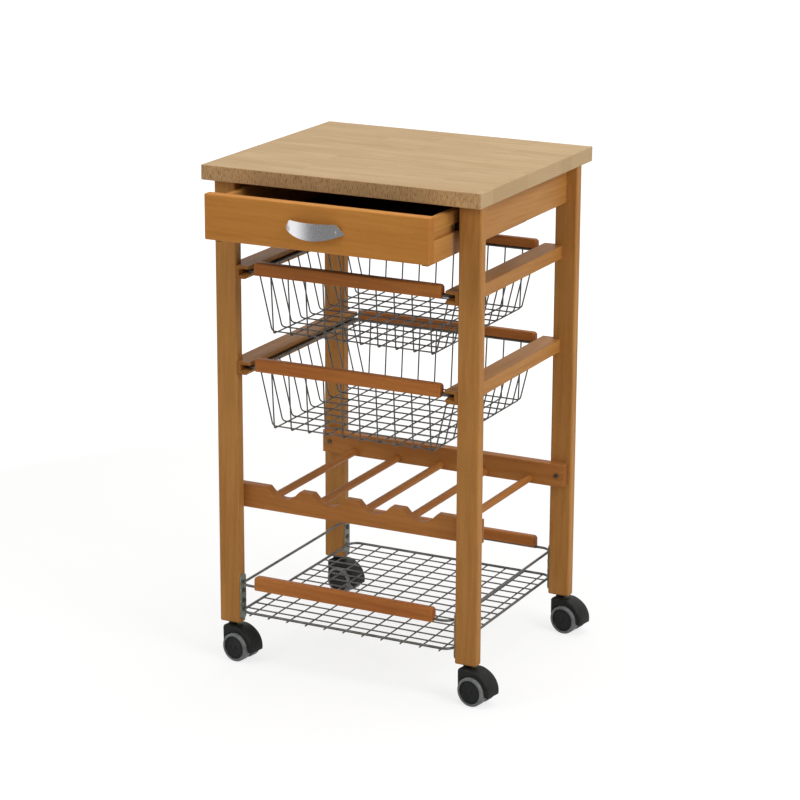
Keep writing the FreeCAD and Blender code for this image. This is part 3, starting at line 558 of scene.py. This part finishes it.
hoodShape = {"clearance": 0.0016, "wall": 0.0069, "halfWidth": 0.017, "shoulder": 0.0032, "front": 0.009,
             "frontBottom": 0.031, "frontTop": 0.0604, "flatEnd": -0.003, "rearStart": 55.0, "corner": 0.005,
             "rearAngle": -9.0, "webHalf": 0.0034, "webRadius": 0.021, "bossDepth": 0.006, "bossEase": 0.0008,
             "bossRadius": 0.0074, "lip": 0.0006}


def hoodOutline(trail, wheelRadius):
    # side outline seen with the trail to the right, from the front lower edge over the top to the rear
    shape = hoodShape
    radius = wheelRadius + shape["clearance"] + shape["wall"]
    x, corner = -shape["front"], shape["corner"]
    points = [(x, shape["frontBottom"] + (shape["frontTop"] - corner - shape["frontBottom"]) * i / 8)
              for i in range(8)]
    points += arcPoints(x + corner, shape["frontTop"] - corner, corner, 180, 90, 8)
    # the flat top runs over into the round rear along a curve that is tangent to both
    start = math.radians(shape["rearStart"])
    joinX, joinZ = trail + radius * math.cos(start), wheelRadius + radius * math.sin(start)
    bendX = joinX - (shape["frontTop"] - joinZ) * math.tan(start)
    flatX = trail + shape["flatEnd"]
    for i in range(12):
        t = i / 12
        a, b, c = (1 - t) ** 2, 2 * t * (1 - t), t * t
        points.append((a * flatX + b * bendX + c * joinX, (a + b) * shape["frontTop"] + c * joinZ))
    points += arcPoints(trail, wheelRadius, radius, shape["rearStart"], shape["rearAngle"], 26)
    return points


def buildHood(name):
    shape = hoodShape
    stem = Vector(joints["caster_" + name + "_swivel"]["pos_m"])
    axle = Vector(joints["wheel_" + name + "_near_spin"]["pos_m"])
    trailWay = Vector((axle.x - stem.x, axle.y - stem.y, 0))
    trail, wheelRadius = trailWay.length, axle.z
    trailWay.normalize()
    sideWay = Vector((0, 0, 1)).cross(trailWay)
    origin = Vector((stem.x, stem.y, 0))
    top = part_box("caster_" + name + "_housing")[1].z

    def spot(x, y, z):
        return origin + trailWay * x + sideWay * y + Vector((0, 0, z))

    builder = bmesh.new()
    half, shoulder = shape["halfWidth"], shape["shoulder"]
    inner = wheelRadius + shape["clearance"]
    loops = []
    for x, z in hoodOutline(trail, wheelRadius):
        reach = math.hypot(x - trail, z - wheelRadius)
        wayX, wayZ = (x - trail) / reach, (z - wheelRadius) / reach
        section = [(inner, -half)]
        section += [(reach - shoulder + b, -half + shoulder - a) for a, b in arcPoints(0, 0, shoulder, 0, 90, 5)]
        section += [(reach - shoulder + b, half - shoulder + a) for a, b in arcPoints(0, 0, shoulder, 90, 0, 5)]
        section += [(inner, half)]
        loops.append([builder.verts.new(spot(trail + wayX * r, y, wheelRadius + wayZ * r)) for r, y in section])
    count = len(loops[0])
    for first, second in zip(loops, loops[1:]):
        for i in range(count):
            builder.faces.new([first[i], first[(i + 1) % count], second[(i + 1) % count], second[i]])
    builder.faces.new(loops[0])
    builder.faces.new(list(reversed(loops[-1])))
    web = arcPoints(trail, wheelRadius, inner + 0.0008, 0, 180, 36)
    web += arcPoints(trail, wheelRadius, shape["webRadius"], 180, 360, 36)
    sides = [[builder.verts.new(spot(x, y, z)) for x, z in web] for y in (-shape["webHalf"], shape["webHalf"])]
    for i in range(len(web)):
        after = (i + 1) % len(web)
        builder.faces.new([sides[0][i], sides[0][after], sides[1][after], sides[1][i]])
    builder.faces.new(sides[0])
    builder.faces.new(list(reversed(sides[1])))
    bossLow, ease = shape["frontTop"] - shape["bossDepth"], shape["bossEase"]
    boss = [(0, bossLow), (shape["bossRadius"], bossLow), (shape["bossRadius"], top - ease),
            (shape["bossRadius"] - ease, top), (0, top)]
    latheInto(builder, boss, Matrix.Translation(origin), 48)
    hood = meshPiece("hood_" + name, finishMesh(builder, "hood_" + name), nylon, 40)
    addBevel(hood, shape["lip"], 2, 55)
    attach(hood, "caster_" + name)
    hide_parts("caster_" + name + "_housing")


for casterPlace in casterPlaces:
    buildHood(casterPlace)
print("caster hoods built:", len(casterPlaces))


# bowed crescent handle on two posts

handleShape = {"thickness": 0.0022, "topHalf": 0.041, "tipDrop": 0.0155, "edge": 0.0006, "postX": 0.038,
               "postRadius": 0.0043, "footRim": 0.0008, "columns": 64, "rows": 10}


def buildHandle():
    shape = handleShape
    low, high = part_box("drawer_handle")
    half, bow = (high.x - low.x) / 2, high.y - low.y
    radius = (half * half + bow * bow) / (2 * bow)
    axisY = low.y + radius
    tipZ = high.z - shape["tipDrop"]
    sag = tipZ - low.z
    arcRadius = (half * half + sag * sag) / (2 * sag)
    builder = bmesh.new()
    layers = []
    for inset in (0.0, shape["thickness"]):
        grid = []
        for column in range(shape["columns"] + 1):
            x = -half + 2 * half * column / shape["columns"]
            slope = max(0.0, (abs(x) - shape["topHalf"]) / (half - shape["topHalf"]))
            upper = high.z - shape["tipDrop"] * slope + 0.0002
            lower = low.z + arcRadius - math.sqrt(arcRadius ** 2 - x * x) - 0.0002 * slope
            reach = math.sqrt(radius * radius - x * x)
            y = axisY - reach + inset * radius / reach
            grid.append([builder.verts.new((x, y, lower + (upper - lower) * row / shape["rows"]))
                         for row in range(shape["rows"] + 1)])
        layers.append(grid)
    rows, columns = shape["rows"], shape["columns"]
    for grid in layers:
        for i in range(columns):
            for j in range(rows):
                builder.faces.new([grid[i][j], grid[i + 1][j], grid[i + 1][j + 1], grid[i][j + 1]])
    front, back = layers
    for i in range(columns):
        for j in (0, rows):
            builder.faces.new([front[i][j], front[i + 1][j], back[i + 1][j], back[i][j]])
    for j in range(rows):
        for i in (0, columns):
            builder.faces.new([front[i][j], front[i][j + 1], back[i][j + 1], back[i][j]])
    postZ = (low.z + high.z) / 2
    for side in (-1, 1):
        x = side * shape["postX"]
        reachY = axisY - math.sqrt((radius - shape["thickness"] / 2) ** 2 - x * x)
        turn = Matrix.Rotation(math.radians(90), 4, "X")
        place = Matrix.Translation((x, high.y, postZ)) @ turn
        length = high.y - reachY
        postRadius, rim = shape["postRadius"], shape["footRim"]
        post = [(0, 0), (postRadius + rim, 0), (postRadius + rim, rim), (postRadius, 2 * rim),
                (postRadius, length), (0, length)]
        latheInto(builder, post, place, 40)
    handle = meshPiece("crescent_handle", finishMesh(builder, "crescent_handle"), handleSteel, 35)
    addBevel(handle, shape["edge"], 3, 60)
    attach(handle, "drawer")
    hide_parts("drawer_handle")


buildHandle()
print("handle built")


# floor, light and camera

studio = {"floorSize": 60.0, "floorColour": (0.8, 0.8, 0.79, 1), "ambient": 0.42,
          "shadowReach": 0.7, "floorGlow": 0.66, "glowStrength": 1.15, "shadeAmount": 0.8}
lamps = [
    # name, place, target, size, power
    ("key", (3.2, -0.9, 2.5), (0.0, 0.0, 0.45), 1.8, 65.0),
    ("fill", (-2.2, -3.0, 2.6), (0.0, 0.0, 0.4), 2.0, 26.0),
    ("overhead", (0.1, 0.2, 3.4), (0.0, 0.0, 0.4), 2.6, 48.0),
]


def buildFloor():
    builder = bmesh.new()
    bmesh.ops.create_grid(builder, x_segments=24, y_segments=24, size=studio["floorSize"] / 2)
    mesh = bpy.data.meshes.new("floor")
    builder.to_mesh(mesh)
    builder.free()
    material, tree, shader = newMaterial("pale floor")
    coords = addNode(tree, "ShaderNodeTexCoord").outputs
    haze = noise(tree, coords["Object"], 3.0, 2.0)
    pale = studio["floorColour"]
    warm = (pale[0] * 0.99, pale[1] * 0.99, pale[2] * 0.985, 1)
    tree.links.new(mixColours(tree, haze, pale, warm), shader.inputs["Base Color"])
    shader.inputs["Roughness"].default_value = 0.9
    shader.inputs["Specular IOR Level"].default_value = 0.1
    paths = addNode(tree, "ShaderNodeLightPath").outputs
    spot = addNode(tree, "ShaderNodeSeparateXYZ", {"Vector": coords["Object"]}).outputs
    # polished metal mirrors this floor, darker to the front right
    darker = remap(tree, mathNode(tree, "SUBTRACT", spot["X"], spot["Y"]), -1.5, 2.0, 0.0, studio["shadeAmount"])
    darker = mathNode(tree, "MULTIPLY", darker, paths["Is Glossy Ray"])
    strength = remap(tree, darker, 0.0, 1.0, studio["glowStrength"], 0.0)
    glow = addNode(tree, "ShaderNodeEmission", {"Color": (1, 1, 1, 1), "Strength": strength}).outputs[0]
    away = addNode(tree, "ShaderNodeVectorMath", {0: coords["Object"]}, operation="LENGTH").outputs["Value"]
    far = remap(tree, away, studio["shadowReach"], studio["shadowReach"] * 2.2)
    seen = mathNode(tree, "MAXIMUM", paths["Is Camera Ray"], paths["Is Glossy Ray"])
    white = mathNode(tree, "MULTIPLY", seen, mathNode(tree, "MAXIMUM", far, studio["floorGlow"]))
    mix = addNode(tree, "ShaderNodeMixShader", {0: white, 1: shader.outputs[0], 2: glow})
    tree.links.new(mix.outputs[0], tree.nodes["Material Output"].inputs["Surface"])
    floor = bpy.data.objects.new("floor", mesh)
    mesh.materials.append(material)
    bpy.context.scene.collection.objects.link(floor)
    floor.location.z = cadBounds[0][2]


def buildWorld():
    world = bpy.data.worlds.new("studio")
    bpy.context.scene.world = world
    world.use_nodes = True
    tree = world.node_tree
    background = tree.nodes["Background"]
    paths = addNode(tree, "ShaderNodeLightPath").outputs
    way = addNode(tree, "ShaderNodeSeparateXYZ",
                  {"Vector": addNode(tree, "ShaderNodeTexCoord").outputs["Generated"]}).outputs
    # the studio is darker to the front right, which shades polished metal from one end to the other
    darker = remap(tree, mathNode(tree, "SUBTRACT", way["X"], way["Y"]), -0.35, 0.85, 0.0, studio["shadeAmount"])
    mirrored = mathNode(tree, "MULTIPLY", paths["Is Glossy Ray"], mathNode(tree, "SUBTRACT", 1.0, darker))
    seen = mathNode(tree, "MAXIMUM", paths["Is Camera Ray"], paths["Is Transmission Ray"])
    seen = mathNode(tree, "MAXIMUM", seen, mirrored)
    strength = remap(tree, seen, 0.0, 1.0, studio["ambient"], 1.0)
    background.inputs["Color"].default_value = (1, 1, 1, 1)
    tree.links.new(strength, background.inputs["Strength"])


def buildLamp(name, place, target, size, power):
    lamp = bpy.data.lights.new(name, "AREA")
    lamp.size = size
    lamp.energy = power
    holder = bpy.data.objects.new(name, lamp)
    holder.location = place
    way = Vector(target) - Vector(place)
    holder.rotation_euler = way.to_track_quat("-Z", "Y").to_euler()
    bpy.context.scene.collection.objects.link(holder)


view = {"place": (2.0370, -4.0524, 1.7391), "azimuth": 26.67, "elevation": 16.04, "roll": 0.24, "lens": 125.99}


def buildCamera():
    azimuth, elevation, roll = (math.radians(view[key]) for key in ("azimuth", "elevation", "roll"))
    forward = Vector((-math.sin(azimuth) * math.cos(elevation), math.cos(azimuth) * math.cos(elevation),
                      -math.sin(elevation)))
    level = Vector((math.cos(azimuth), math.sin(azimuth), 0))
    upward = level.cross(forward)
    right = level * math.cos(roll) + upward * math.sin(roll)
    upright = upward * math.cos(roll) - level * math.sin(roll)
    camera = bpy.data.cameras.new("camera")
    camera.sensor_width = 36
    camera.lens = view["lens"]
    camera.clip_end = 200
    holder = bpy.data.objects.new("camera", camera)
    turn = Matrix((right, upright, -forward)).transposed().to_4x4()
    holder.matrix_world = Matrix.Translation(view["place"]) @ turn
    bpy.context.scene.collection.objects.link(holder)
    bpy.context.scene.camera = holder


buildFloor()
buildWorld()
for lampSettings in lamps:
    buildLamp(*lampSettings)
buildCamera()
bpy.context.scene.view_settings.view_transform = "Standard"
print("floor, light and camera placed")
